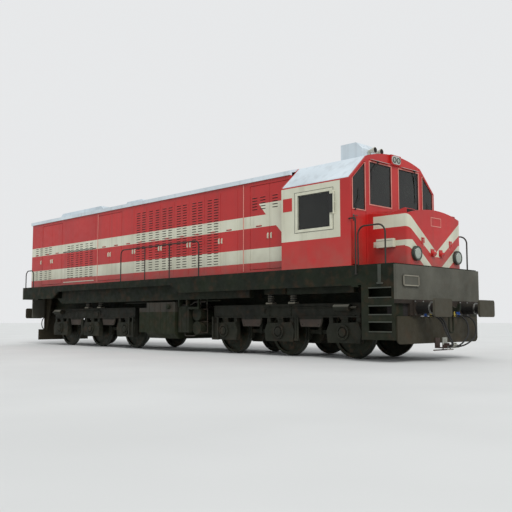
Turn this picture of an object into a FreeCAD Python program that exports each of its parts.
import FreeCAD, Part
import math
import os

# Six-axle diesel-electric locomotive with one end cab. Millimetres.
# +X runs forward to the cab and nose, +Y to the left-hand side, +Z up.
# The origin is midway between the end plates, on the wheel flanges' lowest plane.

os.makedirs("parts", exist_ok=True)

# ---- running gear ----
TREAD_R = 550.0
FLANGE_HEIGHT = 28.0
BACK_TO_BACK = 1360.0
WHEEL_WIDTH = 135.0
FLANGE_WIDTH = 32.0
RIM_DEPTH = 75.0
WEB_THICKNESS = 40.0
HUB_R = 160.0
AXLE_R = 95.0
JOURNAL_R = 75.0
JOURNAL_CLEARANCE = 1.0
AXLE_SPACING = 1930.0
FRONT_BOGIE_X = 4250.0
REAR_BOGIE_X = -4050.0

# ---- underframe ----
HALF_LENGTH = 7880.0
HALF_WIDTH = 1617.0
HEADSTOCK_THICKNESS = 60.0
DECK_Z = 1975.0
DECK_THICKNESS = 30.0
SILL_THICKNESS = 57.0
DEEP_SILL_Z = 1562.0
SHALLOW_SILL_Z = 1780.0
SHALLOW_REAR_X = -5390.0
SHALLOW_FRONT_X = 640.0
SILL_SLOPE_RUN = 390.0
CENTRE_SILL_Y = 430.0
CENTRE_SILL_HALF = 30.0
CENTRE_SILL_Z = 1400.0
DUCT_INSET = 167.0
DUCT_WIDTH = 150.0
CROSS_BAR_HALF = 50.0
CROSS_BAR_Z = 1600.0
HEADSTOCK_DROP = 25.0
HEADSTOCK_Z = 1176.0
REAR_CORNER_Z = 1564.0
REAR_PLATE_HALF_WIDTH = 1250.0
LOWER_PLATE_HALF_WIDTH = 1150.0
LOWER_PLATE_Z = 935.0
BOLSTER_HALF_LENGTH = 350.0
BOLSTER_Z = 1450.0
PIVOT_R = 150.0
PIVOT_CLEARANCE = 8.0
PIVOT_DEPTH = 220.0

# ---- buffers, draw gear and apron ----
BUFFER_Y = 875.0
BUFFER_Z = 1088.0
BUFFER_REACH = 590.0
BUFFER_HEAD_WIDTH = 640.0
BUFFER_HEAD_HEIGHT = 360.0
BUFFER_HEAD_THICKNESS = 50.0
BUFFER_BARREL_R = 120.0
BUFFER_SLEEVE_R = 98.0
BUFFER_BARREL_LENGTH = 300.0
BUFFER_CORNER_R = 60.0
BUFFER_FLANGE_HALF_WIDTH = 175.0
BUFFER_FLANGE_HALF_HEIGHT = 160.0
BUFFER_FLANGE_THICKNESS = 25.0
APRON_TOP_Z = 923.0
APRON_BOTTOM_Z = 370.0
APRON_THICKNESS = 30.0
APRON_CORNER_R = 120.0

LINK_DROP = 500.0
HOSE_R = 16.0
HOSE_BEND = 130.0
COCK_Z = 950.0
COCK_LENGTH = 65.0
COUPLING_Z = 295.0
COUPLING_REACH = 230.0
COUPLING_HALF = 40.0

# ---- hood ----
HOOD_HALF_WIDTH = 1300.0
HOOD_WALL = 40.0
HOOD_EAVE_Z = 4215.0
HOOD_FASCIA = 105.0
HOOD_CROWN_RISE = 180.0
HOOD_ROOF_OVERHANG = 40.0
HOOD_ROOF_TAIL = 50.0
DOOR_GAP = 12.0
LEAF_GAP = 8.0
KNUCKLE_R = 7.0
KNUCKLE_LENGTH = 120.0
DOOR_FOOT_Z = 2070.0
DOOR_HEAD_Z = 4110.0
DOOR_PITCH = 1292.0
FIRST_DOOR_X = -2850.0
DOOR_LEAF = 660.0
REAR_DOOR_FROM_END = 780.0
CAB_DOOR_POST = 40.0
FRONT_DOOR_LEAF = 652.0
FRONT_DOOR_FAR_LEAF = 664.0
SEAM_WIDTH = 8.0
SEAM_DEPTH = 6.0

# ---- cab and nose ----
CAB_LENGTH = 1990.0
CAB_WALL = 40.0
EAVE_Z = 3860.0
SHOULDER_TOP_Y = 1044.0
SHOULDER_TOP_Z = 4390.0
CAB_CROWN_Z = 4550.0
NOSE_SETBACK = 80.0
NOSE_LENGTH = 1030.0
NOSE_HALF_WIDTH = 1020.0
NOSE_SIDE_TOP_Z = 3030.0
NOSE_CROWN_RISE = 150.0
NOSE_TOP_SLOPE = 75.0
GLASS_THICKNESS = 12.0
CAB_DOOR_GAP = 14.0
CAB_DOOR_THICKNESS = 28.0
CAB_DOOR_BESIDE_NOSE = 70.0
CAB_CORNER_POST = 50.0
CAB_DOOR_SILL = 30.0
CAB_DOOR_HEAD_DROP = 70.0
CAB_DOOR_FLAT = 50.0
DOOR_WINDOW_HEAD_DROP = 92.0

# ---- rails ----
RAIL_R = 17.0
RAIL_Y = HALF_WIDTH - 19.0
RAIL_TOP_Z = 2890.0

NOSE_FRONT_X = HALF_LENGTH - NOSE_SETBACK
CAB_FRONT_X = NOSE_FRONT_X - NOSE_LENGTH
CAB_REAR_X = CAB_FRONT_X - CAB_LENGTH
CAB_DOOR_INNER_Y = NOSE_HALF_WIDTH + CAB_DOOR_BESIDE_NOSE
CAB_DOOR_OUTER_Y = HALF_WIDTH - CAB_CORNER_POST
CAB_DOOR_FOOT_Z = DECK_Z + CAB_DOOR_SILL
DUCT_Y = HALF_WIDTH - DUCT_INSET
APRON_HALF_WIDTH = HALF_WIDTH - SILL_THICKNESS
COUPLING_FACE_X = HALF_LENGTH + COUPLING_REACH
FRAME_END_X = HALF_LENGTH - HEADSTOCK_THICKNESS
UNDER_DECK_Z = DECK_Z - DECK_THICKNESS
AXLE_Z = TREAD_R + FLANGE_HEIGHT
FLANGE_R = TREAD_R + FLANGE_HEIGHT
WHEEL_INNER_Y = BACK_TO_BACK / 2
WHEEL_OUTER_Y = WHEEL_INNER_Y + WHEEL_WIDTH

# Hood doors that swing: name, hinge X, free edge X.
REAR_HINGE_X = -HALF_LENGTH + REAR_DOOR_FROM_END
REAR_SEAM_X = REAR_HINGE_X + DOOR_LEAF
FRONT_HINGE_X = CAB_REAR_X - CAB_DOOR_POST
FRONT_SEAM_X = FRONT_HINGE_X - FRONT_DOOR_LEAF
DOOR_LEAVES = [
    ("rear_a", REAR_HINGE_X, REAR_SEAM_X),
    ("rear_b", REAR_SEAM_X + DOOR_LEAF, REAR_SEAM_X),
    ("mid_a", FIRST_DOOR_X - DOOR_PITCH / 2, FIRST_DOOR_X),
    ("mid_b", FIRST_DOOR_X + DOOR_PITCH / 2, FIRST_DOOR_X),
    ("front_a", FRONT_SEAM_X - FRONT_DOOR_FAR_LEAF, FRONT_SEAM_X),
    ("front_b", FRONT_HINGE_X, FRONT_SEAM_X),
]

# Seams of the fixed hood panels, by X.
REAR_POST = 30.0
REAR_PANEL_GAP = 50.0
WALL_PANEL_END_X = -3660.0
LAST_SEAM_FROM_CAB = 1600.0
PANEL_SEAMS = [FIRST_DOOR_X + DOOR_PITCH * (half / 2 + 1) for half in range(0, 8)]
PANEL_SEAMS += [REAR_HINGE_X - REAR_POST, REAR_SEAM_X + DOOR_LEAF + REAR_PANEL_GAP, WALL_PANEL_END_X,
                CAB_REAR_X - LAST_SEAM_FROM_CAB]


def vec(x, y, z):
    return FreeCAD.Vector(x, y, z)


def box(x0, x1, y0, y1, z0, z1):
    return Part.makeBox(x1 - x0, y1 - y0, z1 - z0, vec(x0, y0, z0))


def cylinder(centre, direction, radius, length):
    return Part.makeCylinder(radius, length, vec(*centre), vec(*direction))


def prism_xz(points, y0, y1):
    """A flat outline of (x, z) points, given thickness from y0 to y1."""
    corners = [vec(x, y0, z) for x, z in points]
    face = Part.Face(Part.makePolygon(corners + [corners[0]]))
    return face.extrude(vec(0, y1 - y0, 0))


def prism_yz(points, x0, x1):
    """A flat outline of (y, z) points, given thickness from x0 to x1."""
    corners = [vec(x0, y, z) for y, z in points]
    face = Part.Face(Part.makePolygon(corners + [corners[0]]))
    return face.extrude(vec(x1 - x0, 0, 0))


def other_side(shape):
    return shape.mirror(vec(0, 0, 0), vec(0, 1, 0))


def other_end(shape, about_x=0.0):
    return shape.mirror(vec(about_x, 0, 0), vec(1, 0, 0))


def both_sides(shape):
    return [shape, other_side(shape)]


def fuse(shapes):
    joined = shapes[0]
    if len(shapes) > 1:
        joined = shapes[0].multiFuse(shapes[1:])
    return joined.removeSplitter()


def cut(shape, tools):
    return shape.cut(tools) if tools else shape


def save(name, shapes):
    solids = []
    for shape in shapes:
        solids += shape.Solids
    body = solids[0] if len(solids) == 1 else Part.makeCompound(solids)
    body.exportStep("parts/" + name + ".step")


def tube(points, radius, bend):
    """A round bar along straight runs, with an arc of radius bend at each corner."""
    corners = [vec(*point) for point in points]
    edges = []
    start = corners[0]
    for before, corner, after in zip(corners, corners[1:], corners[2:]):
        back = (before - corner).normalize()
        ahead = (after - corner).normalize()
        half_turn = (math.pi - back.getAngle(ahead)) / 2
        reach = bend * math.tan(half_turn)
        arc_start = corner + back * reach
        arc_end = corner + ahead * reach
        to_middle = (back + ahead).normalize()
        middle = corner + to_middle * (bend / math.cos(half_turn) - bend)
        edges.append(Part.LineSegment(start, arc_start).toShape())
        edges.append(Part.Arc(arc_start, middle, arc_end).toShape())
        start = arc_end
    edges.append(Part.LineSegment(start, corners[-1]).toShape())
    path = Part.Wire(edges)
    ring = Part.makeCircle(radius, corners[0], corners[1] - corners[0])
    return path.makePipeShell([Part.Wire([ring])], True, False)


# ---------------------------------------------------------------- running gear

def wheel_outline():
    """Half section of one wheel as (y, radius), from the flange side outwards."""
    web_inner = WHEEL_INNER_Y + (WHEEL_WIDTH - WEB_THICKNESS) / 2
    web_outer = web_inner + WEB_THICKNESS
    rim_r = TREAD_R - RIM_DEPTH
    flange_top = WHEEL_INNER_Y + FLANGE_WIDTH * 0.6
    return [
        (WHEEL_INNER_Y - 20, 0),
        (WHEEL_INNER_Y - 20, HUB_R),
        (web_inner, HUB_R),
        (web_inner, rim_r),
        (WHEEL_INNER_Y, rim_r),
        (WHEEL_INNER_Y, FLANGE_R - 8),
        (WHEEL_INNER_Y + 8, FLANGE_R),
        (flange_top, FLANGE_R),
        (WHEEL_INNER_Y + FLANGE_WIDTH, TREAD_R + 4),
        (WHEEL_OUTER_Y - 5, TREAD_R),
        (WHEEL_OUTER_Y, TREAD_R - 5),
        (WHEEL_OUTER_Y, rim_r),
        (web_outer, rim_r),
        (web_outer, HUB_R),
        (WHEEL_OUTER_Y + 10, HUB_R),
        (WHEEL_OUTER_Y + 10, 0),
    ]


def make_wheelset(axle_x):
    points = [vec(axle_x, y, AXLE_Z + r) for y, r in wheel_outline()]
    face = Part.Face(Part.makePolygon(points + [points[0]]))
    wheel = face.revolve(vec(axle_x, 0, AXLE_Z), vec(0, 1, 0), 360)
    axle_end = WHEEL_OUTER_Y + 10
    axle = cylinder((axle_x, -axle_end, AXLE_Z), (0, 1, 0), AXLE_R, 2 * axle_end)
    journal = cylinder((axle_x, -JOURNAL_END_Y, AXLE_Z), (0, 1, 0), JOURNAL_R, 2 * JOURNAL_END_Y)
    return fuse([axle, journal, wheel, other_side(wheel)])


SIDE_FRAME_INNER_Y = 1000.0
SIDE_FRAME_OUTER_Y = 1120.0
SIDE_FRAME_FOOT_Z = AXLE_Z + 327.0
SIDE_FRAME_TOP_Z = SIDE_FRAME_FOOT_Z + 310.0
SIDE_FRAME_TAPER = 260.0
SIDE_FRAME_RISE = 90.0
FLANGE_PLATE = 24.0
FLANGE_PROUD = 35.0
BOGIE_OVERHANG = 440.0
BOGIE_HALF_LENGTH = AXLE_SPACING + BOGIE_OVERHANG
LEG_FAR = 430.0
LEG_WIDTH = 110.0
LEG_FOOT_Z = AXLE_Z - 233.0
GUSSET_HALF = AXLE_SPACING / 2 - 615.0
GUSSET_FOOT_HALF = GUSSET_HALF - 60.0
GUSSET_FOOT_Z = SIDE_FRAME_FOOT_Z - 215.0
PEDESTAL_WIDTH = 245.0
PEDESTAL_BAR = 50.0
PEDESTAL_PROUD = 78.0
PEDESTAL_THICKNESS = 32.0
TRANSOM_HALF = 110.0
TRANSOM_FOOT_Z = SIDE_FRAME_FOOT_Z + 55.0
TRANSOM_TOP_Z = SIDE_FRAME_TOP_Z - 15.0
END_BEAM_HALF = 30.0
END_BEAM_FOOT_Z = TRANSOM_TOP_Z - 140.0
CENTRE_PLATE_Z = TRANSOM_TOP_Z - 5.0
CENTRE_PLATE_THICKNESS = 60.0
CENTRE_PLATE_HALF = 280.0
JOURNAL_END_Y = 1080.0
AXLE_BOX_INNER_Y = 905.0
AXLE_BOX_GAP = 6.0
AXLE_BOX_FOOT_Z = AXLE_Z - 178.0
AXLE_BOX_TOP_Z = AXLE_Z + 202.0
CROWN_HALF = 90.0
CROWN_INSET = 10.0
HOUSING_THICKNESS = 34.0
COVER_R = 165.0
COVER_RIM = 45.0
COVER_PROUD = 40.0
COVER_RECESS = 12.0
CAP_PROUD = 20.0
HANGER_BAR_R = 28.0


def axle_offsets():
    return [-AXLE_SPACING, 0.0, AXLE_SPACING]


def inner_end(centre_x):
    """Direction along X from a bogie's centre to its end nearer the middle of the locomotive."""
    return -1 if centre_x > 0 else 1


def make_side_frame(centre_x):
    """Right-hand side frame: tapered beam, lower flange, axle box guides and gussets."""
    y0, y1 = -SIDE_FRAME_OUTER_Y, -SIDE_FRAME_INNER_Y
    half = BOGIE_HALF_LENGTH
    beam = prism_xz([
        (centre_x - half, SIDE_FRAME_FOOT_Z + SIDE_FRAME_RISE),
        (centre_x - half + SIDE_FRAME_TAPER, SIDE_FRAME_FOOT_Z),
        (centre_x + half - SIDE_FRAME_TAPER, SIDE_FRAME_FOOT_Z),
        (centre_x + half, SIDE_FRAME_FOOT_Z + SIDE_FRAME_RISE),
        (centre_x + half, SIDE_FRAME_TOP_Z),
        (centre_x - half, SIDE_FRAME_TOP_Z),
    ], y0, y1)
    lower = box(centre_x - half, centre_x + half, y0 - FLANGE_PROUD, y1,
                SIDE_FRAME_FOOT_Z, SIDE_FRAME_FOOT_Z + FLANGE_PLATE)
    upper = box(centre_x - half, centre_x + half, y0 - 15, y1,
                SIDE_FRAME_TOP_Z - FLANGE_PLATE / 2, SIDE_FRAME_TOP_Z)
    pieces = [beam, lower, upper]
    for dx in axle_offsets():
        for sign in (-1, 1):
            near = centre_x + dx + sign * (LEG_FAR - LEG_WIDTH)
            far = centre_x + dx + sign * LEG_FAR
            pieces.append(box(min(near, far), max(near, far), y0, y1, LEG_FOOT_Z,
                              SIDE_FRAME_FOOT_Z + SIDE_FRAME_RISE + 10))
    for sign in (-1, 1):
        middle = centre_x + sign * AXLE_SPACING / 2
        pieces.append(prism_xz([
            (middle - GUSSET_HALF, SIDE_FRAME_FOOT_Z),
            (middle - GUSSET_HALF, SIDE_FRAME_FOOT_Z - 60),
            (middle - GUSSET_FOOT_HALF, GUSSET_FOOT_Z),
            (middle + GUSSET_FOOT_HALF, GUSSET_FOOT_Z),
            (middle + GUSSET_HALF, SIDE_FRAME_FOOT_Z - 60),
            (middle + GUSSET_HALF, SIDE_FRAME_FOOT_Z),
        ], y0 - 12, y0 + 30))
    pedestal_x = centre_x + inner_end(centre_x) * (half - PEDESTAL_WIDTH / 2)
    front = y0 - PEDESTAL_PROUD
    back = front + PEDESTAL_THICKNESS
    for sign in (-1, 1):
        bar_x = pedestal_x + sign * (PEDESTAL_WIDTH - PEDESTAL_BAR) / 2
        low, high = bar_x - PEDESTAL_BAR / 2, bar_x + PEDESTAL_BAR / 2
        pieces.append(box(low, high, front, back, LEG_FOOT_Z, SIDE_FRAME_FOOT_Z + FLANGE_PLATE))
        pieces.append(box(low, high, front, y0, SIDE_FRAME_FOOT_Z, SIDE_FRAME_FOOT_Z + FLANGE_PLATE))
    pieces.append(box(pedestal_x - PEDESTAL_WIDTH / 2, pedestal_x + PEDESTAL_WIDTH / 2, front, back,
                      LEG_FOOT_Z, LEG_FOOT_Z + PEDESTAL_BAR))
    return fuse(pieces)


def make_cross_beams(centre_x):
    """Transoms with the centre plate between them, and the two end beams."""
    beams = []
    ends = []
    for sign in (-1, 1):
        middle = centre_x + sign * AXLE_SPACING / 2
        beams.append(box(middle - TRANSOM_HALF, middle + TRANSOM_HALF, -SIDE_FRAME_INNER_Y,
                         SIDE_FRAME_INNER_Y, TRANSOM_FOOT_Z, TRANSOM_TOP_Z))
        end = centre_x + sign * (BOGIE_HALF_LENGTH - END_BEAM_HALF)
        ends.append(box(end - END_BEAM_HALF, end + END_BEAM_HALF, -SIDE_FRAME_INNER_Y,
                        SIDE_FRAME_INNER_Y, END_BEAM_FOOT_Z, TRANSOM_TOP_Z))
    reach = AXLE_SPACING / 2 + TRANSOM_HALF
    plate = box(centre_x - reach, centre_x + reach, -CENTRE_PLATE_HALF, CENTRE_PLATE_HALF,
                CENTRE_PLATE_Z, CENTRE_PLATE_Z + CENTRE_PLATE_THICKNESS)
    bore = cylinder((centre_x, 0, CENTRE_PLATE_Z - 1), (0, 0, 1),
                    PIVOT_R + PIVOT_CLEARANCE, CENTRE_PLATE_THICKNESS + 2)
    return [cut(fuse(beams + [plate]), [bore])] + ends


# Front housing of an axle box: distance from the axle along X and in Z.
HOUSING_OUTLINE = [(-440, -226), (440, -226), (480, 22), (400, 222), (-400, 192), (-480, 22)]


def make_axle_box(axle_x):
    """Right-hand box round one journal, with its wide front housing and ringed end cover."""
    guide = LEG_FAR - LEG_WIDTH - AXLE_BOX_GAP
    face_y = -SIDE_FRAME_OUTER_Y - AXLE_BOX_GAP
    front_y = face_y - HOUSING_THICKNESS
    body = box(axle_x - guide, axle_x + guide, face_y, -AXLE_BOX_INNER_Y, AXLE_BOX_FOOT_Z, AXLE_BOX_TOP_Z)
    housing = prism_xz([(axle_x + dx, AXLE_Z + dz) for dx, dz in HOUSING_OUTLINE], front_y, face_y)
    rim = cylinder((axle_x, front_y, AXLE_Z), (0, -1, 0), COVER_R, COVER_PROUD)
    recess = cylinder((axle_x, front_y - COVER_RECESS, AXLE_Z), (0, -1, 0), COVER_R - COVER_RIM, COVER_PROUD)
    cap = cylinder((axle_x, front_y - COVER_RECESS + 1, AXLE_Z), (0, -1, 0), COVER_R / 3, CAP_PROUD - 1)
    crown = box(axle_x - CROWN_HALF, axle_x + CROWN_HALF, -SIDE_FRAME_OUTER_Y + CROWN_INSET,
                -SIDE_FRAME_INNER_Y - CROWN_INSET, AXLE_BOX_TOP_Z - 10, SIDE_FRAME_FOOT_Z)
    block = fuse([cut(fuse([body, housing, rim, crown]), [recess]), cap])
    bore = cylinder((axle_x, -JOURNAL_END_Y - 10, AXLE_Z), (0, 1, 0),
                    JOURNAL_R + JOURNAL_CLEARANCE, JOURNAL_END_Y - AXLE_BOX_INNER_Y + 20)
    return cut(block, [bore])


def make_axle_boxes(centre_x):
    boxes = []
    for dx in axle_offsets():
        boxes += both_sides(make_axle_box(centre_x + dx))
    return boxes


SHOE_INNER_R = FLANGE_R + 8.0
SHOE_THICKNESS = 60.0
SHOE_HALF_HEIGHT = 190.0
SHOE_INSET = 15.0
HANGER_HALF = 45.0
HANGER_FOOT_DROP = 60.0
CYLINDER_R = 78.0
CYLINDER_Z = SIDE_FRAME_TOP_Z - 105.0
CYLINDER_LENGTH = 430.0
CYLINDER_PAST_AXLE = 70.0
CYLINDER_BEHIND = 250.0
ROD_R = 24.0
ROD_LENGTH = 170.0
SPRING_HANGER_X = 555.0
SPRING_BAR_X = 32.0
SPRING_FOOT_HALF = 60.0
SPRING_FOOT_HEIGHT = 45.0


def make_brake_hanger(centre_x, sign):
    """One hanger under a transom, with a shoe at each of the two wheels beside it."""
    middle = centre_x + sign * AXLE_SPACING / 2
    y0 = -(WHEEL_OUTER_Y - SHOE_INSET)
    y1 = -(WHEEL_INNER_Y + SHOE_INSET)
    pieces = [box(middle - HANGER_HALF, middle + HANGER_HALF, y0, y1, AXLE_Z - HANGER_FOOT_DROP,
                  TRANSOM_FOOT_Z)]
    for side in (-1, 1):
        axle_x = middle + side * AXLE_SPACING / 2
        outer = cylinder((axle_x, y0, AXLE_Z), (0, 1, 0), SHOE_INNER_R + SHOE_THICKNESS, y1 - y0)
        inner = cylinder((axle_x, y0 - 1, AXLE_Z), (0, 1, 0), SHOE_INNER_R, y1 - y0 + 2)
        back = axle_x - side * (SHOE_INNER_R + SHOE_THICKNESS)
        front = axle_x - side * (SHOE_INNER_R * 0.9)
        window = box(min(back, front) - 2, max(back, front), y0, y1,
                     AXLE_Z - SHOE_HALF_HEIGHT, AXLE_Z + SHOE_HALF_HEIGHT)
        pieces.append(outer.cut(inner).common(window))
        near = back + side * SHOE_INSET
        pieces.append(box(min(middle, near), max(middle, near), y0 + SHOE_INSET + 5, y1 - SHOE_INSET - 5,
                          AXLE_Z - HANGER_HALF, AXLE_Z + HANGER_HALF))
    return fuse(pieces)


def make_brake_cylinder(x, outward):
    """Right-hand brake cylinder on the side frame, its rod pointing outward along X."""
    y = -SIDE_FRAME_OUTER_Y - 105
    barrel = cylinder((x - outward * CYLINDER_BEHIND, y, CYLINDER_Z), (outward, 0, 0),
                      CYLINDER_R, CYLINDER_LENGTH)
    ahead = CYLINDER_LENGTH - CYLINDER_BEHIND
    rod = cylinder((x + outward * ahead, y, CYLINDER_Z), (outward, 0, 0), ROD_R, ROD_LENGTH)
    bracket = box(x - 100, x + 60, y, -SIDE_FRAME_OUTER_Y, CYLINDER_Z - 70, CYLINDER_Z + 60)
    return fuse([barrel, rod, bracket])


def make_spring_hanger(x):
    """Right-hand pair of upright bars beside an axle box, with the bracket that holds them."""
    y = -SIDE_FRAME_OUTER_Y - HANGER_BAR_R
    foot_z = LEG_FOOT_Z + 30
    bars = [cylinder((x + dx, y, foot_z + 15), (0, 0, 1), HANGER_BAR_R, SIDE_FRAME_FOOT_Z - foot_z - 15)
            for dx in (-SPRING_BAR_X, SPRING_BAR_X)]
    foot = box(x - SPRING_FOOT_HALF, x + SPRING_FOOT_HALF, y - HANGER_BAR_R, y + HANGER_BAR_R,
               foot_z, foot_z + SPRING_FOOT_HEIGHT)
    return fuse(bars + [foot])


def make_brake_gear(centre_x):
    """Hangers with shoes, brake cylinders and spring hangers of one bogie."""
    outward = -inner_end(centre_x)
    half = [make_brake_hanger(centre_x, -1), make_brake_hanger(centre_x, 1),
            make_brake_cylinder(centre_x + outward * (AXLE_SPACING + CYLINDER_PAST_AXLE), outward),
            make_spring_hanger(centre_x + outward * SPRING_HANGER_X)]
    pieces = []
    for piece in half:
        pieces += both_sides(piece)
    return pieces


MOTOR_HALF_WIDTH = 480.0
MOTOR_R = 330.0
MOTOR_FROM_AXLE = 500.0
MOTOR_Z = AXLE_Z + 12.0
MOTOR_HALF_HEIGHT = 280.0
MOTOR_ARM_HALF = 300.0
MOTOR_HANGER_HALF = 150.0


def make_motor(axle_x, towards):
    """Traction motor hung beside its axle, with a rounded casing."""
    near = axle_x + towards * (AXLE_R + 35)
    centre = axle_x + towards * MOTOR_FROM_AXLE
    casing = cylinder((centre, -MOTOR_HALF_WIDTH, MOTOR_Z), (0, 1, 0), MOTOR_R, 2 * MOTOR_HALF_WIDTH)
    trim = box(centre - MOTOR_R, centre + MOTOR_R, -MOTOR_HALF_WIDTH, MOTOR_HALF_WIDTH,
               MOTOR_Z - MOTOR_HALF_HEIGHT - 10, MOTOR_Z + MOTOR_HALF_HEIGHT - 10)
    casing = casing.common(trim)
    arm = box(min(near, centre), max(near, centre), -MOTOR_ARM_HALF, MOTOR_ARM_HALF,
              MOTOR_Z - 120, MOTOR_Z + 110)
    hung = [axle_x + towards * (AXLE_SPACING / 2 - reach) for reach in (265, 65)]
    hanger = box(min(hung), max(hung), -MOTOR_HANGER_HALF, MOTOR_HANGER_HALF, MOTOR_Z + 50, TRANSOM_FOOT_Z)
    return fuse([casing, arm, hanger])


def make_motors(centre_x):
    lead = 1 if centre_x > 0 else -1
    places = [(-AXLE_SPACING, 1), (0.0, 1), (AXLE_SPACING, -1)]
    return [make_motor(centre_x + lead * dx, lead * side) for dx, side in places]


# ------------------------------------------------------------------ underframe

def sill_outline():
    return [
        (-FRAME_END_X, DEEP_SILL_Z),
        (SHALLOW_REAR_X - SILL_SLOPE_RUN, DEEP_SILL_Z),
        (SHALLOW_REAR_X, SHALLOW_SILL_Z),
        (SHALLOW_FRONT_X, SHALLOW_SILL_Z),
        (SHALLOW_FRONT_X + SILL_SLOPE_RUN, DEEP_SILL_Z),
        (FRAME_END_X, DEEP_SILL_Z),
        (FRAME_END_X, UNDER_DECK_Z),
        (-FRAME_END_X, UNDER_DECK_Z),
    ]


JACK_PAD_FROM_END = 1030.0
JACK_PAD_X = HALF_LENGTH - JACK_PAD_FROM_END
JACK_PAD_HALF = 90.0
JACK_PAD_DEPTH = 35.0


def make_deck():
    return box(-FRAME_END_X, FRAME_END_X, -HALF_WIDTH, HALF_WIDTH, UNDER_DECK_Z, DECK_Z)


# Air ducts hung along each side: start X, end X, lower Z.
DUCTS = [(-5420.0, 3550.0, 1385.0), (CAB_REAR_X, CAB_FRONT_X - 70, 1425.0)]


def make_sills():
    """Side sills with their jacking pads, centre sills and side ducts."""
    sill = [prism_xz(sill_outline(), -HALF_WIDTH, -HALF_WIDTH + SILL_THICKNESS)]
    for x in (-JACK_PAD_X, JACK_PAD_X):
        sill.append(box(x - JACK_PAD_HALF, x + JACK_PAD_HALF, -HALF_WIDTH,
                        -HALF_WIDTH + 2 * JACK_PAD_HALF, DEEP_SILL_Z - JACK_PAD_DEPTH, UNDER_DECK_Z))
    half = [fuse(sill)]
    half.append(box(-FRAME_END_X, FRAME_END_X, -CENTRE_SILL_Y - CENTRE_SILL_HALF,
                    -CENTRE_SILL_Y + CENTRE_SILL_HALF, CENTRE_SILL_Z, UNDER_DECK_Z))
    for x0, x1, low in DUCTS:
        half.append(box(x0, x1, -DUCT_Y, -DUCT_Y + DUCT_WIDTH, low, UNDER_DECK_Z))
    solids = []
    for piece in half:
        solids += both_sides(piece)
    return solids


# Cross bars under the deck: X, outer |Y|.
CROSS_BARS = [
    (-HALF_LENGTH + 180.0, HALF_WIDTH - SILL_THICKNESS),
    (-6300.0, HALF_WIDTH - SILL_THICKNESS),
    (-1700.0, DUCT_Y - DUCT_WIDTH),
    (0.0, DUCT_Y - DUCT_WIDTH),
    (1500.0, DUCT_Y - DUCT_WIDTH),
    (6300.0, DUCT_Y - DUCT_WIDTH),
    (HALF_LENGTH - 180.0, HALF_WIDTH - SILL_THICKNESS),
]


def make_cross_members():
    """Cross bars and bogie bolsters between and beside the centre sills, with the pivots."""
    inner = CENTRE_SILL_Y - CENTRE_SILL_HALF
    outer = CENTRE_SILL_Y + CENTRE_SILL_HALF
    solids = []
    for x, reach in CROSS_BARS:
        low, high = x - CROSS_BAR_HALF, x + CROSS_BAR_HALF
        solids.append(box(low, high, -inner, inner, CROSS_BAR_Z, UNDER_DECK_Z))
        solids += both_sides(box(low, high, -reach, -outer, CROSS_BAR_Z, UNDER_DECK_Z))
    for x in (FRONT_BOGIE_X, REAR_BOGIE_X):
        low, high = x - BOLSTER_HALF_LENGTH, x + BOLSTER_HALF_LENGTH
        middle = box(low, high, -inner, inner, BOLSTER_Z, UNDER_DECK_Z)
        pivot = cylinder((x, 0, BOLSTER_Z - PIVOT_DEPTH), (0, 0, 1), PIVOT_R, PIVOT_DEPTH + 5)
        solids.append(fuse([middle, pivot]))
        reach = DUCT_Y - DUCT_WIDTH
        solids += both_sides(box(low, high, -reach, -outer, BOLSTER_Z, UNDER_DECK_Z))
    return solids


def buffer_flange(y):
    return box(HALF_LENGTH, HALF_LENGTH + BUFFER_FLANGE_THICKNESS,
               y - BUFFER_FLANGE_HALF_WIDTH, y + BUFFER_FLANGE_HALF_WIDTH,
               BUFFER_Z - BUFFER_FLANGE_HALF_HEIGHT, BUFFER_Z + BUFFER_FLANGE_HALF_HEIGHT)


def make_front_headstock():
    plate = box(FRAME_END_X, HALF_LENGTH, -HALF_WIDTH, HALF_WIDTH, HEADSTOCK_Z, DECK_Z - HEADSTOCK_DROP)
    lower = box(FRAME_END_X, HALF_LENGTH, -LOWER_PLATE_HALF_WIDTH, LOWER_PLATE_HALF_WIDTH,
                LOWER_PLATE_Z, HEADSTOCK_Z + 1)
    flanges = [buffer_flange(-BUFFER_Y), buffer_flange(BUFFER_Y)]
    return fuse([plate, lower] + flanges)


def make_rear_headstock():
    upper = box(FRAME_END_X, HALF_LENGTH, -HALF_WIDTH, HALF_WIDTH, REAR_CORNER_Z, DECK_Z)
    lower = box(FRAME_END_X, HALF_LENGTH, -REAR_PLATE_HALF_WIDTH, REAR_PLATE_HALF_WIDTH,
                LOWER_PLATE_Z, REAR_CORNER_Z + 1)
    flanges = [buffer_flange(-BUFFER_Y), buffer_flange(BUFFER_Y)]
    return other_end(fuse([upper, lower] + flanges))


def make_buffer(y):
    """Sleeve, plunger and flat rectangular head of one buffer at the front end."""
    foot = HALF_LENGTH + BUFFER_FLANGE_THICKNESS
    face = HALF_LENGTH + BUFFER_REACH
    barrel = cylinder((foot, y, BUFFER_Z), (1, 0, 0), BUFFER_BARREL_R, BUFFER_BARREL_LENGTH)
    plunger = cylinder((foot, y, BUFFER_Z), (1, 0, 0), BUFFER_SLEEVE_R, face - foot - 10)
    head = box(face - BUFFER_HEAD_THICKNESS, face, y - BUFFER_HEAD_WIDTH / 2, y + BUFFER_HEAD_WIDTH / 2,
               BUFFER_Z - BUFFER_HEAD_HEIGHT / 2, BUFFER_Z + BUFFER_HEAD_HEIGHT / 2)
    upright = [edge for edge in head.Edges if abs(edge.tangentAt(edge.FirstParameter).x) > 0.9]
    head = head.makeFillet(BUFFER_CORNER_R, upright)
    return fuse([barrel, plunger, head])


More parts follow.
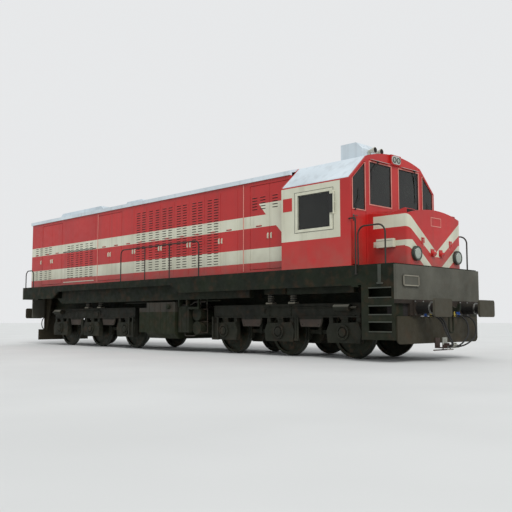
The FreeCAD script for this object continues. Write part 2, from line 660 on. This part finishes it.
# Draw hook's side outline: distance ahead of the end plate, height over the buffers' middle.
HOOK_OUTLINE = [(50, -45), (420, -70), (450, -20), (450, 90), (400, 90), (385, 10), (340, 10),
                (290, 45), (50, 45)]
HOOK_HALF = 30.0
HOOK_GUIDE = 60.0
HOOK_GUIDE_HALF_WIDTH = 120.0
HOOK_GUIDE_HALF_HEIGHT = 110.0
LINK_PIN_AHEAD = 230.0
LINK_PIN_R = 22.0
LINK_HALF_WIDTH = 78.0
LINK_R = 18.0
LINK_BEND = 60.0


def make_draw_gear():
    """Draw hook with its link hanging, at the front end."""
    guide = box(HALF_LENGTH, HALF_LENGTH + HOOK_GUIDE, -HOOK_GUIDE_HALF_WIDTH, HOOK_GUIDE_HALF_WIDTH,
                BUFFER_Z - HOOK_GUIDE_HALF_HEIGHT, BUFFER_Z + HOOK_GUIDE_HALF_HEIGHT)
    hook = prism_xz([(HALF_LENGTH + dx, BUFFER_Z + dz) for dx, dz in HOOK_OUTLINE], -HOOK_HALF, HOOK_HALF)
    pin_x = HALF_LENGTH + LINK_PIN_AHEAD
    pin_half = LINK_HALF_WIDTH + LINK_R - 1
    pin = cylinder((pin_x, -pin_half, BUFFER_Z), (0, 1, 0), LINK_PIN_R, 2 * pin_half)
    foot_z = BUFFER_Z - LINK_DROP
    link = tube([(pin_x, -LINK_HALF_WIDTH, BUFFER_Z), (pin_x, -LINK_HALF_WIDTH, foot_z),
                 (pin_x, LINK_HALF_WIDTH, foot_z), (pin_x, LINK_HALF_WIDTH, BUFFER_Z)], LINK_R, LINK_BEND)
    return fuse([guide, hook, pin, link])


APRON_BRACKET_Y = 700.0
APRON_BRACKET_HALF = 20.0
APRON_BRACKET_FOOT_Z = 450.0
APRON_BRACKET_TOP_DROP = 120.0
APRON_BRACKET_FOOT = 40.0
APRON_BRACKET_REACH = 320.0


def make_apron():
    """Rail guard plate under the front end plate, with the two brackets that carry it."""
    back = FRAME_END_X
    plate = box(back, back + APRON_THICKNESS, -APRON_HALF_WIDTH, APRON_HALF_WIDTH,
                APRON_BOTTOM_Z, APRON_TOP_Z)
    corners = []
    for edge in plate.Edges:
        runs_along = abs(edge.tangentAt(edge.FirstParameter).x) > 0.9
        if runs_along and edge.BoundBox.ZMax < APRON_BOTTOM_Z + 1:
            corners.append(edge)
    plate = plate.makeFillet(APRON_CORNER_R, corners)
    bracket = prism_xz([
        (back - APRON_BRACKET_FOOT, APRON_BRACKET_FOOT_Z),
        (back, APRON_BRACKET_FOOT_Z),
        (back, CROSS_BAR_Z),
        (back - APRON_BRACKET_REACH, CROSS_BAR_Z),
        (back - APRON_BRACKET_REACH, CROSS_BAR_Z - APRON_BRACKET_TOP_DROP),
    ], -APRON_BRACKET_Y - APRON_BRACKET_HALF, -APRON_BRACKET_Y + APRON_BRACKET_HALF)
    return fuse([plate, bracket, other_side(bracket)])


# Step box at each front corner: openings as (lower z, upper z).
STEP_OPENINGS = [(625.0, 805.0), (966.0, 1127.0), (1308.0, 1490.0)]
STEP_LENGTH = 800.0
STEP_X1 = FRAME_END_X
STEP_X0 = STEP_X1 - STEP_LENGTH
STEP_SIDE = 180.0
STEP_FRONT = 60.0
STEP_HEADROOM = 80.0
STEP_FOOT_Z = 450.0
STEP_DEPTH = 300.0
STEP_PLATE = 20.0


def make_front_steps():
    y0 = -HALF_WIDTH
    y1 = y0 + STEP_DEPTH
    shell = box(STEP_X0, STEP_X1, y0, y1, STEP_FOOT_Z, DEEP_SILL_Z)
    spaces = []
    for low, high in STEP_OPENINGS:
        spaces.append(box(STEP_X0 + STEP_SIDE, STEP_X1 - STEP_FRONT, y0 - 1, y0 + STEP_PLATE + 1, low, high))
        spaces.append(box(STEP_X0 + STEP_PLATE, STEP_X1 - STEP_PLATE, y0 + STEP_PLATE,
                          y1 - STEP_PLATE, low, high + STEP_HEADROOM))
    step = cut(shell, spaces)
    return both_sides(step)


TANK_X = (-650.0, 650.0)
TANK_Y = DUCT_Y
TANK_Z = (345.0, 1330.0)
TANK_CHAMFER = 140.0
TANK_TAIL_X = -1080.0
TANK_TAIL_INSET = 60.0
TANK_TAIL_Z = (500.0, 1190.0)
SADDLE_X = 400.0
SADDLE_HALF = 60.0


def make_fuel_tank():
    low, high = TANK_Z
    section = [
        (-TANK_Y, low + TANK_CHAMFER),
        (-TANK_Y + TANK_CHAMFER, low),
        (TANK_Y - TANK_CHAMFER, low),
        (TANK_Y, low + TANK_CHAMFER),
        (TANK_Y, high),
        (-TANK_Y, high),
    ]
    body = prism_yz(section, TANK_X[0], TANK_X[1])
    tail_y = TANK_Y - TANK_TAIL_INSET
    tail = box(TANK_TAIL_X, TANK_X[0] + 5, -tail_y, tail_y, *TANK_TAIL_Z)
    saddles = [box(x - SADDLE_HALF, x + SADDLE_HALF, -CENTRE_SILL_Y - CENTRE_SILL_HALF,
                   CENTRE_SILL_Y + CENTRE_SILL_HALF, high, CENTRE_SILL_Z) for x in (-SADDLE_X, SADDLE_X)]
    return fuse([body, tail] + saddles)


BATTERY_X = (740.0, 1180.0)
BATTERY_Z = (520.0, 1215.0)
BATTERY_INSET = 50.0
BATTERY_WIDTH = 550.0
HANGER_LENGTH = 60.0
HANGER_INSET = 10.0
RESERVOIR_X = 1410.0
RESERVOIR_R = 170.0
RESERVOIR_LENGTH = 560.0
RESERVOIR_Z = (640.0, 1000.0)
RAIL_END_X = 1600.0
RAIL_BAR = 40.0
RAIL_BAR_Z = (1130.0, 1190.0)
STRAP_WIDTH = 60.0


def make_equipment():
    """Battery box and air reservoirs between the tank and the front bogie, hung from the side duct."""
    duct_z = DUCTS[0][2]
    outer = -DUCT_Y + BATTERY_INSET
    inner = outer + BATTERY_WIDTH
    x0, x1 = BATTERY_X
    battery = box(x0, x1, outer, inner, *BATTERY_Z)
    hangers = [box(x, x + HANGER_LENGTH, -DUCT_Y + HANGER_INSET, -DUCT_Y + DUCT_WIDTH,
                   BATTERY_Z[1] - 15, duct_z) for x in (x0 + 20, x1 - 80)]
    rail_y = -DUCT_Y + HANGER_INSET + 20
    rail = box(x1 - 20, RAIL_END_X, rail_y, rail_y + RAIL_BAR, *RAIL_BAR_Z)
    drop = box(RAIL_END_X - RAIL_BAR, RAIL_END_X, rail_y, rail_y + RAIL_BAR, RAIL_BAR_Z[0], duct_z)
    tank_y = -DUCT_Y + DUCT_WIDTH
    tanks = [cylinder((RESERVOIR_X, tank_y, z), (0, 1, 0), RESERVOIR_R, RESERVOIR_LENGTH)
             for z in RESERVOIR_Z]
    strap_y = tank_y + 3 * STRAP_WIDTH
    strap = box(x1, RESERVOIR_X + 10, strap_y, strap_y + STRAP_WIDTH,
                RESERVOIR_Z[0] - 40, RESERVOIR_Z[1] + 100)
    return both_sides(fuse([battery, rail, drop, strap] + hangers + tanks))


# ------------------------------------------------------------------------ hood

def crowned_section(half_width, base_z, side_z, crown_z, x):
    """Face in a YZ plane: flat base, upright sides and an arched top."""
    points = [vec(x, -half_width, side_z), vec(x, 0, crown_z), vec(x, half_width, side_z)]
    arch = Part.Arc(*points).toShape()
    right = Part.LineSegment(points[2], vec(x, half_width, base_z)).toShape()
    base = Part.LineSegment(vec(x, half_width, base_z), vec(x, -half_width, base_z)).toShape()
    left = Part.LineSegment(vec(x, -half_width, base_z), points[0]).toShape()
    return Part.Face(Part.Wire([arch, right, base, left]))


def make_hood_side():
    """Right-hand hood wall with the swinging doors' openings and the fixed panels' seams."""
    rear = -HALF_LENGTH + HOOD_WALL
    wall = box(rear, CAB_REAR_X, -HOOD_HALF_WIDTH, -HOOD_HALF_WIDTH + HOOD_WALL, DECK_Z, HOOD_EAVE_Z)
    outer = -HOOD_HALF_WIDTH
    tools = []
    pairs = list(zip(DOOR_LEAVES[0::2], DOOR_LEAVES[1::2]))
    for first, second in pairs:
        tools.append(box(first[1] - DOOR_GAP, second[1] + DOOR_GAP, outer - 1, outer + HOOD_WALL + 1,
                         DOOR_FOOT_Z - DOOR_GAP, DOOR_HEAD_Z + DOOR_GAP))
    for x in PANEL_SEAMS:
        tools.append(box(x - SEAM_WIDTH / 2, x + SEAM_WIDTH / 2, outer - 1, outer + SEAM_DEPTH,
                         DOOR_FOOT_Z, DOOR_HEAD_Z))
    return cut(wall, tools)


def make_hood_rear():
    return box(-HALF_LENGTH, -HALF_LENGTH + HOOD_WALL, -HOOD_HALF_WIDTH, HOOD_HALF_WIDTH,
               DECK_Z, HOOD_EAVE_Z)


# Raised roof hatches: start X, end X, half width, top Z.
HATCHES = [
    (-6700.0, -3800.0, 900.0, 4548.0),
    (-2870.0, -1660.0, 800.0, 4525.0),
]
HATCH_SLOPE = 220.0
HATCH_FOOT_Z = HOOD_EAVE_Z + HOOD_FASCIA + 60.0


def make_hatch(x0, x1, half_width, top):
    outline = [(x0, HATCH_FOOT_Z), (x1, HATCH_FOOT_Z), (x1 - HATCH_SLOPE, top), (x0 + HATCH_SLOPE, top)]
    return prism_xz(outline, -half_width, half_width)


def make_hood_roof():
    x0 = -HALF_LENGTH - HOOD_ROOF_TAIL
    length = CAB_REAR_X - x0
    side_z = HOOD_EAVE_Z + HOOD_FASCIA
    crown_z = side_z + HOOD_CROWN_RISE
    outer = crowned_section(HOOD_HALF_WIDTH + HOOD_ROOF_OVERHANG, HOOD_EAVE_Z, side_z, crown_z, x0)
    outer = outer.extrude(vec(length, 0, 0))
    inner_x = -HALF_LENGTH + HOOD_WALL
    inner = crowned_section(HOOD_HALF_WIDTH - HOOD_WALL, HOOD_EAVE_Z - 1, side_z - HOOD_WALL,
                            crown_z - HOOD_WALL, inner_x)
    inner = inner.extrude(vec(CAB_REAR_X - inner_x + 1, 0, 0))
    hatches = [make_hatch(*row) for row in HATCHES]
    return cut(fuse([outer] + hatches), [inner])


def hinge_knuckles(x, y, low_z, high_z):
    """Three round knuckles on a door's hinge line."""
    first = low_z + KNUCKLE_LENGTH
    last = high_z - 2 * KNUCKLE_LENGTH
    middle = (first + last) / 2
    return [cylinder((x, y, z), (0, 0, 1), KNUCKLE_R, KNUCKLE_LENGTH) for z in (first, middle, last)]


def make_door_leaf(hinge_x, free_x):
    """Right-hand hood door leaf with the knuckles of its hinge."""
    low, high = min(hinge_x, free_x), max(hinge_x, free_x)
    if hinge_x < free_x:
        high -= LEAF_GAP / 2
    else:
        low += LEAF_GAP / 2
    leaf = box(low, high, -HOOD_HALF_WIDTH, -HOOD_HALF_WIDTH + HOOD_WALL, DOOR_FOOT_Z, DOOR_HEAD_Z)
    return fuse([leaf] + hinge_knuckles(hinge_x, -HOOD_HALF_WIDTH, DOOR_FOOT_Z, DOOR_HEAD_Z))


ENGINE_X = (-3400.0, 1400.0)
ENGINE_HALF_WIDTH = 700.0
ENGINE_TOP_Z = 3800.0


def make_engine():
    return box(ENGINE_X[0], ENGINE_X[1], -ENGINE_HALF_WIDTH, ENGINE_HALF_WIDTH, DECK_Z, ENGINE_TOP_Z)


# ------------------------------------------------------------------------- cab

def shoulder_z(y):
    """Height of the cab's outer skin over the sloped shoulder at |y|."""
    share = (HALF_WIDTH - abs(y)) / (HALF_WIDTH - SHOULDER_TOP_Y)
    return EAVE_Z + share * (SHOULDER_TOP_Z - EAVE_Z)


def cab_section(inset, base_z, x):
    """Face of the cab's outline in a YZ plane, moved in by inset."""
    half = HALF_WIDTH - inset
    eave = (half, EAVE_Z - inset * 0.4)
    shoulder = (SHOULDER_TOP_Y - inset * 0.35, SHOULDER_TOP_Z - inset)
    crown = CAB_CROWN_Z - inset
    arch = Part.Arc(vec(x, -shoulder[0], shoulder[1]), vec(x, 0, crown),
                    vec(x, shoulder[0], shoulder[1])).toShape()
    corners = [vec(x, shoulder[0], shoulder[1]), vec(x, eave[0], eave[1]), vec(x, half, base_z),
               vec(x, -half, base_z), vec(x, -eave[0], eave[1]), vec(x, -shoulder[0], shoulder[1])]
    lines = [Part.LineSegment(a, b).toShape() for a, b in zip(corners, corners[1:])]
    return Part.Face(Part.Wire([arch] + lines))


WINDSHIELD_Y = (150.0, 942.0)
WINDSHIELD_Z = (3340.0, 4265.0)
SIDE_WINDOW_REAR = 1470.0
SIDE_WINDOW_FRONT = 575.0
SIDE_WINDOW_X = (CAB_FRONT_X - SIDE_WINDOW_REAR, CAB_FRONT_X - SIDE_WINDOW_FRONT)
SIDE_WINDOW_Z = (2860.0, 3600.0)
DOOR_WINDOW_MARGIN = 25.0
DOOR_WINDOW_Z = 3190.0
KNUCKLES_OVER_WINDOW_SILL = 800.0
CAB_DOOR_KNUCKLE_Z = DOOR_WINDOW_Z + KNUCKLES_OVER_WINDOW_SILL


def cab_door_outline(grow):
    """Door leaf as (y, z) on the left side, its head parallel to the shoulder."""
    inner = CAB_DOOR_INNER_Y - grow
    outer = CAB_DOOR_OUTER_Y + grow
    foot = CAB_DOOR_FOOT_Z - grow
    flat = CAB_DOOR_INNER_Y + CAB_DOOR_FLAT
    head = grow - CAB_DOOR_HEAD_DROP
    return [(inner, foot), (outer, foot), (outer, shoulder_z(outer) + head),
            (flat, shoulder_z(flat) + head), (inner, shoulder_z(flat) + head)]


def door_window_outline():
    inner = CAB_DOOR_INNER_Y + DOOR_WINDOW_MARGIN
    outer = CAB_DOOR_OUTER_Y - DOOR_WINDOW_MARGIN
    flat = CAB_DOOR_INNER_Y + CAB_DOOR_FLAT
    return [(inner, DOOR_WINDOW_Z), (outer, DOOR_WINDOW_Z),
            (outer, shoulder_z(outer) - DOOR_WINDOW_HEAD_DROP),
            (flat, shoulder_z(flat) - DOOR_WINDOW_HEAD_DROP),
            (inner, shoulder_z(flat) - DOOR_WINDOW_HEAD_DROP)]


def make_cab_front():
    wall = cab_section(0.0, DECK_Z, CAB_FRONT_X - CAB_WALL).extrude(vec(CAB_WALL, 0, 0))
    tools = []
    for side in (-1, 1):
        low, high = sorted((side * WINDSHIELD_Y[0], side * WINDSHIELD_Y[1]))
        tools.append(box(CAB_FRONT_X - CAB_WALL - 1, CAB_FRONT_X + 1, low, high, *WINDSHIELD_Z))
        outline = [(side * y, z) for y, z in cab_door_outline(CAB_DOOR_GAP)]
        tools.append(prism_yz(outline, CAB_FRONT_X - CAB_WALL - 1, CAB_FRONT_X + 1))
    return cut(wall, tools)


def make_cab_rear():
    return cab_section(0.0, DECK_Z, CAB_REAR_X).extrude(vec(CAB_WALL, 0, 0))


def make_cab_side():
    wall = box(CAB_REAR_X + CAB_WALL, CAB_FRONT_X - CAB_WALL, -HALF_WIDTH, -HALF_WIDTH + CAB_WALL,
               DECK_Z, EAVE_Z - CAB_WALL * 0.4)
    window = box(SIDE_WINDOW_X[0], SIDE_WINDOW_X[1], -HALF_WIDTH - 1, -HALF_WIDTH + CAB_WALL + 1,
                 SIDE_WINDOW_Z[0], SIDE_WINDOW_Z[1])
    return cut(wall, [window])


def make_cab_roof():
    x0 = CAB_REAR_X + CAB_WALL
    x1 = CAB_FRONT_X - CAB_WALL
    outer = cab_section(0.0, EAVE_Z - CAB_WALL * 0.4, x0).extrude(vec(x1 - x0, 0, 0))
    inner = cab_section(CAB_WALL, DECK_Z, x0 - 1).extrude(vec(x1 - x0 + 2, 0, 0))
    return cut(outer, [inner])


def make_cab_glass():
    panes = []
    middle_x = CAB_FRONT_X - CAB_WALL / 2
    for side in (-1, 1):
        low, high = sorted((side * WINDSHIELD_Y[0], side * WINDSHIELD_Y[1]))
        panes.append(box(middle_x - GLASS_THICKNESS / 2, middle_x + GLASS_THICKNESS / 2,
                         low, high, *WINDSHIELD_Z))
        middle_y = side * (HALF_WIDTH - CAB_WALL / 2)
        panes.append(box(SIDE_WINDOW_X[0], SIDE_WINDOW_X[1], middle_y - GLASS_THICKNESS / 2,
                         middle_y + GLASS_THICKNESS / 2, SIDE_WINDOW_Z[0], SIDE_WINDOW_Z[1]))
    return panes


def make_cab_door():
    """Left-hand door leaf in the cab front, with its window cut."""
    hinge_x = CAB_FRONT_X - CAB_DOOR_THICKNESS
    leaf = prism_yz(cab_door_outline(0.0), hinge_x, CAB_FRONT_X)
    leaf = fuse([leaf] + hinge_knuckles(hinge_x, CAB_DOOR_INNER_Y, CAB_DOOR_FOOT_Z, CAB_DOOR_KNUCKLE_Z))
    window = prism_yz(door_window_outline(), CAB_FRONT_X - CAB_DOOR_THICKNESS - 1, CAB_FRONT_X + 1)
    return cut(leaf, [window])


def make_cab_door_glass():
    middle_x = CAB_FRONT_X - CAB_DOOR_THICKNESS / 2
    return prism_yz(door_window_outline(), middle_x - GLASS_THICKNESS / 2, middle_x + GLASS_THICKNESS / 2)


# Control desk's side outline: distance behind the desk's front face, Z.
DESK_OUTLINE = [(0, DECK_Z), (0, 3180), (260, 3180), (620, 2980), (620, 2900), (380, 2850), (380, DECK_Z)]
DESK_HALF_WIDTH = 960.0
DESK_GAP = 20.0


def make_control_desk():
    front = CAB_FRONT_X - CAB_WALL - DESK_GAP
    return prism_xz([(front - back, z) for back, z in DESK_OUTLINE], -DESK_HALF_WIDTH, DESK_HALF_WIDTH)


SEAT_BEHIND_FRONT = 1120.0
SEAT_X = CAB_FRONT_X - SEAT_BEHIND_FRONT
SEAT_Y = 620.0
SEAT_STAND_R = 70.0
SEAT_STAND_HEIGHT = 480.0
SEAT_HALF = 240.0
SEAT_CUSHION_Z = (2440.0, 2560.0)
# Seat back's side outline: distance ahead of the stand, Z.
SEAT_BACK_OUTLINE = [(-270, 2540), (-150, 2540), (-210, 3160), (-320, 3160)]


def make_seat(y):
    base = cylinder((SEAT_X, y, DECK_Z), (0, 0, 1), SEAT_STAND_R, SEAT_STAND_HEIGHT)
    cushion = box(SEAT_X - SEAT_HALF - 10, SEAT_X + SEAT_HALF, y - SEAT_HALF, y + SEAT_HALF, *SEAT_CUSHION_Z)
    back = prism_xz([(SEAT_X + dx, z) for dx, z in SEAT_BACK_OUTLINE], y - SEAT_HALF + 10, y + SEAT_HALF - 10)
    return fuse([base, cushion, back])


LOCKER_X = (NOSE_FRONT_X - 750.0, NOSE_FRONT_X - 330.0)
LOCKER_Z = (2350.0, 2530.0)
LOCKER_DEPTH = 100.0


def make_nose():
    """Short hood: upright sides, arched top that falls towards the front, side locker each side."""
    section = crowned_section(NOSE_HALF_WIDTH, DECK_Z - 2 * NOSE_TOP_SLOPE, NOSE_SIDE_TOP_Z,
                              NOSE_SIDE_TOP_Z + NOSE_CROWN_RISE, NOSE_FRONT_X)
    body = section.extrude(vec(-NOSE_LENGTH, 0, NOSE_TOP_SLOPE))
    below = box(CAB_FRONT_X - 10, NOSE_FRONT_X + 10, -NOSE_HALF_WIDTH - 10, NOSE_HALF_WIDTH + 10,
                DECK_Z - 3 * NOSE_TOP_SLOPE, DECK_Z)
    locker = box(LOCKER_X[0], LOCKER_X[1], -NOSE_HALF_WIDTH - LOCKER_DEPTH, -NOSE_HALF_WIDTH, *LOCKER_Z)
    return fuse([cut(body, [below])] + both_sides(locker))


# ------------------------------------------------------------ lamps and horns

HEADLIGHT_Y = 800.0
HEADLIGHT_Z = 2210.0
HEADLIGHT_R = 140.0
HEADLIGHT_PROUD = 60.0
TWIN_LAMP_PROUD = 50.0
TWIN_LAMP_HALF_WIDTH = 190.0
TWIN_LAMP_Z = (4320.0, 4545.0)


def make_lamps():
    """Two nose headlights and the twin lamp housing over the windshields."""
    lights = [cylinder((NOSE_FRONT_X, y, HEADLIGHT_Z), (1, 0, 0), HEADLIGHT_R, HEADLIGHT_PROUD)
              for y in (-HEADLIGHT_Y, HEADLIGHT_Y)]
    housing = box(CAB_FRONT_X, CAB_FRONT_X + TWIN_LAMP_PROUD, -TWIN_LAMP_HALF_WIDTH, TWIN_LAMP_HALF_WIDTH,
                  *TWIN_LAMP_Z)
    return lights + [housing]


# Cooling unit on the cab roof: side and top heights, and how far it stands behind the cab's front.
UNIT_Y = (-820.0, 60.0)
UNIT_TOP_Z = 4800.0
UNIT_SIDE_Z = 4620.0
UNIT_TOP_END_Y = -330.0
UNIT_FOOT_Z = 4300.0
UNIT_REAR = 880.0
UNIT_FRONT = 280.0
UNIT_X = (CAB_FRONT_X - UNIT_REAR, CAB_FRONT_X - UNIT_FRONT)
UNIT_CHAMFER_X = 170.0
UNIT_CHAMFER_Z = 160.0


def cab_solid():
    """The cab's whole outline over its length, to cut what stands on its roof."""
    return cab_section(0.0, DECK_Z, CAB_REAR_X).extrude(vec(CAB_LENGTH, 0, 0))


def make_roof_unit():
    """Cooling unit on the right half of the cab roof, following the roof underneath."""
    x0, x1 = UNIT_X
    outline = [(UNIT_Y[0], UNIT_FOOT_Z), (UNIT_Y[1], UNIT_FOOT_Z), (UNIT_Y[1], UNIT_SIDE_Z),
               (UNIT_TOP_END_Y, UNIT_TOP_Z), (UNIT_Y[0], UNIT_TOP_Z)]
    body = prism_yz(outline, x0, x1)
    front_cut = prism_xz([(x1 - UNIT_CHAMFER_X, UNIT_TOP_Z + 1), (x1 + 1, UNIT_TOP_Z + 1),
                          (x1 + 1, UNIT_TOP_Z - UNIT_CHAMFER_Z)], UNIT_Y[0] - 10, UNIT_Y[1] + 10)
    return cut(body, [front_cut, cab_solid()])


# Air horns: Y, length.
HORNS = [(-620.0, 190.0), (-380.0, 170.0)]
HORN_Z = 4590.0
HORN_MOUTH_X = CAB_FRONT_X - 70.0
HORN_MOUTH_R = 70.0
HORN_THROAT_R = 22.0
HORN_FOOT = 40.0


def make_horns():
    """Two air horns on brackets at the front of the cab roof."""
    horns = []
    for y, length in HORNS:
        rear = HORN_MOUTH_X - length
        cone = Part.makeCone(HORN_THROAT_R, HORN_MOUTH_R, length, vec(rear, y, HORN_Z), vec(1, 0, 0))
        foot = box(rear + 10, rear + 10 + HORN_FOOT, y - HORN_FOOT / 2, y + HORN_FOOT / 2,
                   UNIT_FOOT_Z, HORN_Z)
        horns.append(cut(fuse([cone, foot]), [cab_solid()]))
    return horns


# ------------------------------------------------------------------- handrails

SIDE_RAIL_X = (-1760.0, 1810.0)
SIDE_RAIL_POSTS_X = (-560.0, 570.0)
SIDE_RAIL_BEND = 140.0
HOOP_BEND = 180.0


def make_side_rail():
    """Rail at the deck edge beside the hood, with four posts."""
    y = -RAIL_Y
    x0, x1 = SIDE_RAIL_X
    bow = tube([(x0, y, DECK_Z), (x0, y, RAIL_TOP_Z), (x1, y, RAIL_TOP_Z), (x1, y, DECK_Z)],
               RAIL_R, SIDE_RAIL_BEND)
    posts = [cylinder((x, y, DECK_Z), (0, 0, 1), RAIL_R - 2, RAIL_TOP_Z - DECK_Z) for x in SIDE_RAIL_POSTS_X]
    return fuse([bow] + posts)


def make_hoop(x0, x1, top_z):
    y = -RAIL_Y
    return tube([(x0, y, DECK_Z), (x0, y, top_z), (x1, y, top_z), (x1, y, DECK_Z)], RAIL_R, HOOP_BEND)


POLE_X = CAB_FRONT_X + 140.0
POLE_PROUD = 25.0
POLE_Z = (1790.0, 2960.0)
POLE_BEND = 30.0


def make_grab_pole():
    """Upright pole beside the nose, its head turned back to the cab's corner."""
    y = -HALF_WIDTH - POLE_PROUD
    back = CAB_FRONT_X - CAB_WALL
    foot_z, top_z = POLE_Z
    pole = tube([(POLE_X, y, foot_z), (POLE_X, y, top_z), (back, y, top_z), (back, -HALF_WIDTH, top_z)],
                RAIL_R - 2, POLE_BEND)
    foot = box(POLE_X - POLE_PROUD, POLE_X + POLE_PROUD, y - 10, -HALF_WIDTH, foot_z - 10, foot_z + 10)
    return fuse([pole, foot])


# How far each hoop over the end steps starts and ends from the end of the frame.
FRONT_HOOP = (940.0, 260.0)
REAR_HOOP = (180.0, 735.0)
# Hoops of the right-hand side: start X, end X, top Z.
HOOPS = [
    (HALF_LENGTH - FRONT_HOOP[0], HALF_LENGTH - FRONT_HOOP[1], 2775.0),
    (REAR_HOOP[0] - HALF_LENGTH, REAR_HOOP[1] - HALF_LENGTH, 2560.0),
]


def make_handrails():
    rails = []
    for piece in [make_side_rail()] + [make_hoop(*row) for row in HOOPS] + [make_grab_pole()]:
        rails += both_sides(piece)
    return rails


# Right-hand air hoses at the front end: |Y| of the cock, how far ahead of the end plate the first
# run ends, the foremost point's distance ahead, |Y| and Z, the lower turn's distance ahead, |Y| of
# the coupling.
HOSES = [
    (656.0, 350.0, 500.0, 620.0, 540.0, 410.0, 192.0),
    (457.0, 290.0, 420.0, 430.0, 560.0, 360.0, 95.0),
]
COCK_R = 28.0
COCK_FLANGE = 12.0
COCK_FLANGE_HALF = 42.0
COCK_LEVER_HALF = 9.0
COCK_LEVER_HEIGHT = 100.0
PARKING_PLATE = 20.0


def make_air_hoses():
    """Hoses of one end, each from its cock down and round to its parked coupling."""
    hoses = []
    for cock_y, first, ahead, fore_y, fore_z, turn, end_y in HOSES:
        hose = tube([
            (HALF_LENGTH + COCK_LENGTH, -cock_y, COCK_Z),
            (HALF_LENGTH + first, -cock_y, COCK_Z),
            (HALF_LENGTH + ahead, -fore_y, fore_z),
            (HALF_LENGTH + turn, -end_y, COUPLING_Z),
            (COUPLING_FACE_X, -end_y, COUPLING_Z),
        ], HOSE_R, HOSE_BEND)
        hoses += both_sides(hose)
    return hoses


def make_hose_fittings():
    """Cocks on the end plate, and the bracket on the apron with the parked couplings."""
    solids = []
    for hose in HOSES:
        y = -hose[0]
        body = cylinder((HALF_LENGTH, y, COCK_Z), (1, 0, 0), COCK_R, COCK_LENGTH)
        flange = box(HALF_LENGTH, HALF_LENGTH + COCK_FLANGE, y - COCK_FLANGE_HALF, y + COCK_FLANGE_HALF,
                     COCK_Z - 10, COCK_Z + 70)
        lever = box(HALF_LENGTH + COCK_LENGTH - 27, HALF_LENGTH + COCK_LENGTH - 15,
                    y - COCK_LEVER_HALF, y + COCK_LEVER_HALF, COCK_Z, COCK_Z + COCK_LEVER_HEIGHT)
        solids += both_sides(fuse([body, flange, lever]))
    front = FRAME_END_X + APRON_THICKNESS
    low = COUPLING_Z - 30
    inner = -HOSES[1][6] + COUPLING_HALF
    outer = -HOSES[0][6] - COUPLING_HALF
    plate = box(front, front + PARKING_PLATE, outer, inner, low, APRON_BOTTOM_Z + 110)
    shelf = box(front + 10, COUPLING_FACE_X - 70, outer, inner, low, low + PARKING_PLATE)
    pieces = [plate, shelf]
    for hose in HOSES:
        y = -hose[6]
        pieces.append(box(COUPLING_FACE_X - 80, COUPLING_FACE_X, y - COUPLING_HALF, y + COUPLING_HALF,
                          low, COUPLING_Z + 45))
    return solids + both_sides(fuse(pieces))


def main():
    for place, centre_x in (("front", FRONT_BOGIE_X), ("rear", REAR_BOGIE_X)):
        save(place + "_bogie_side_frames", both_sides(make_side_frame(centre_x)))
        save(place + "_bogie_cross_beams", make_cross_beams(centre_x))
        save(place + "_axle_boxes", make_axle_boxes(centre_x))
        save(place + "_brake_gear", make_brake_gear(centre_x))
        save(place + "_traction_motors", make_motors(centre_x))
        for number, dx in enumerate(axle_offsets(), 1):
            save("%s_wheelset_%d" % (place, number), [make_wheelset(centre_x + dx)])
    save("deck", [make_deck()])
    save("sills_and_ducts", make_sills())
    save("cross_members", make_cross_members())
    save("headstocks", [make_front_headstock(), make_rear_headstock()])
    front_buffers = [make_buffer(-BUFFER_Y), make_buffer(BUFFER_Y)]
    save("buffers", front_buffers + [other_end(item) for item in front_buffers])
    hook = make_draw_gear()
    save("draw_gear", [hook, other_end(hook)])
    apron = make_apron()
    save("aprons", [apron, other_end(apron)])
    save("front_steps", make_front_steps())
    save("fuel_tank", [make_fuel_tank()])
    save("underfloor_equipment", make_equipment())
    save("hood_sides", both_sides(make_hood_side()))
    save("hood_rear_wall", [make_hood_rear()])
    save("hood_roof", [make_hood_roof()])
    save("engine_block", [make_engine()])
    for name, hinge_x, free_x in DOOR_LEAVES:
        leaf = make_door_leaf(hinge_x, free_x)
        save("hood_door_right_" + name, [leaf])
        save("hood_door_left_" + name, [other_side(leaf)])
    save("cab_front", [make_cab_front()])
    save("cab_rear_wall", [make_cab_rear()])
    save("cab_sides", both_sides(make_cab_side()))
    save("cab_roof", [make_cab_roof()])
    save("cab_glass", make_cab_glass())
    door = make_cab_door()
    save("cab_door_left", [door])
    save("cab_door_right", [other_side(door)])
    pane = make_cab_door_glass()
    save("cab_door_glass_left", [pane])
    save("cab_door_glass_right", [other_side(pane)])
    save("control_desk", [make_control_desk()])
    save("cab_seats", [make_seat(-SEAT_Y), make_seat(SEAT_Y)])
    save("nose", [make_nose()])
    save("lamps", make_lamps())
    save("roof_unit", [make_roof_unit()])
    save("horns", make_horns())
    save("handrails", make_handrails())
    hoses = make_air_hoses()
    save("air_hoses", hoses + [other_end(hose) for hose in hoses])
    fittings = make_hose_fittings()
    save("hose_fittings", fittings + [other_end(fitting) for fitting in fittings])


main()
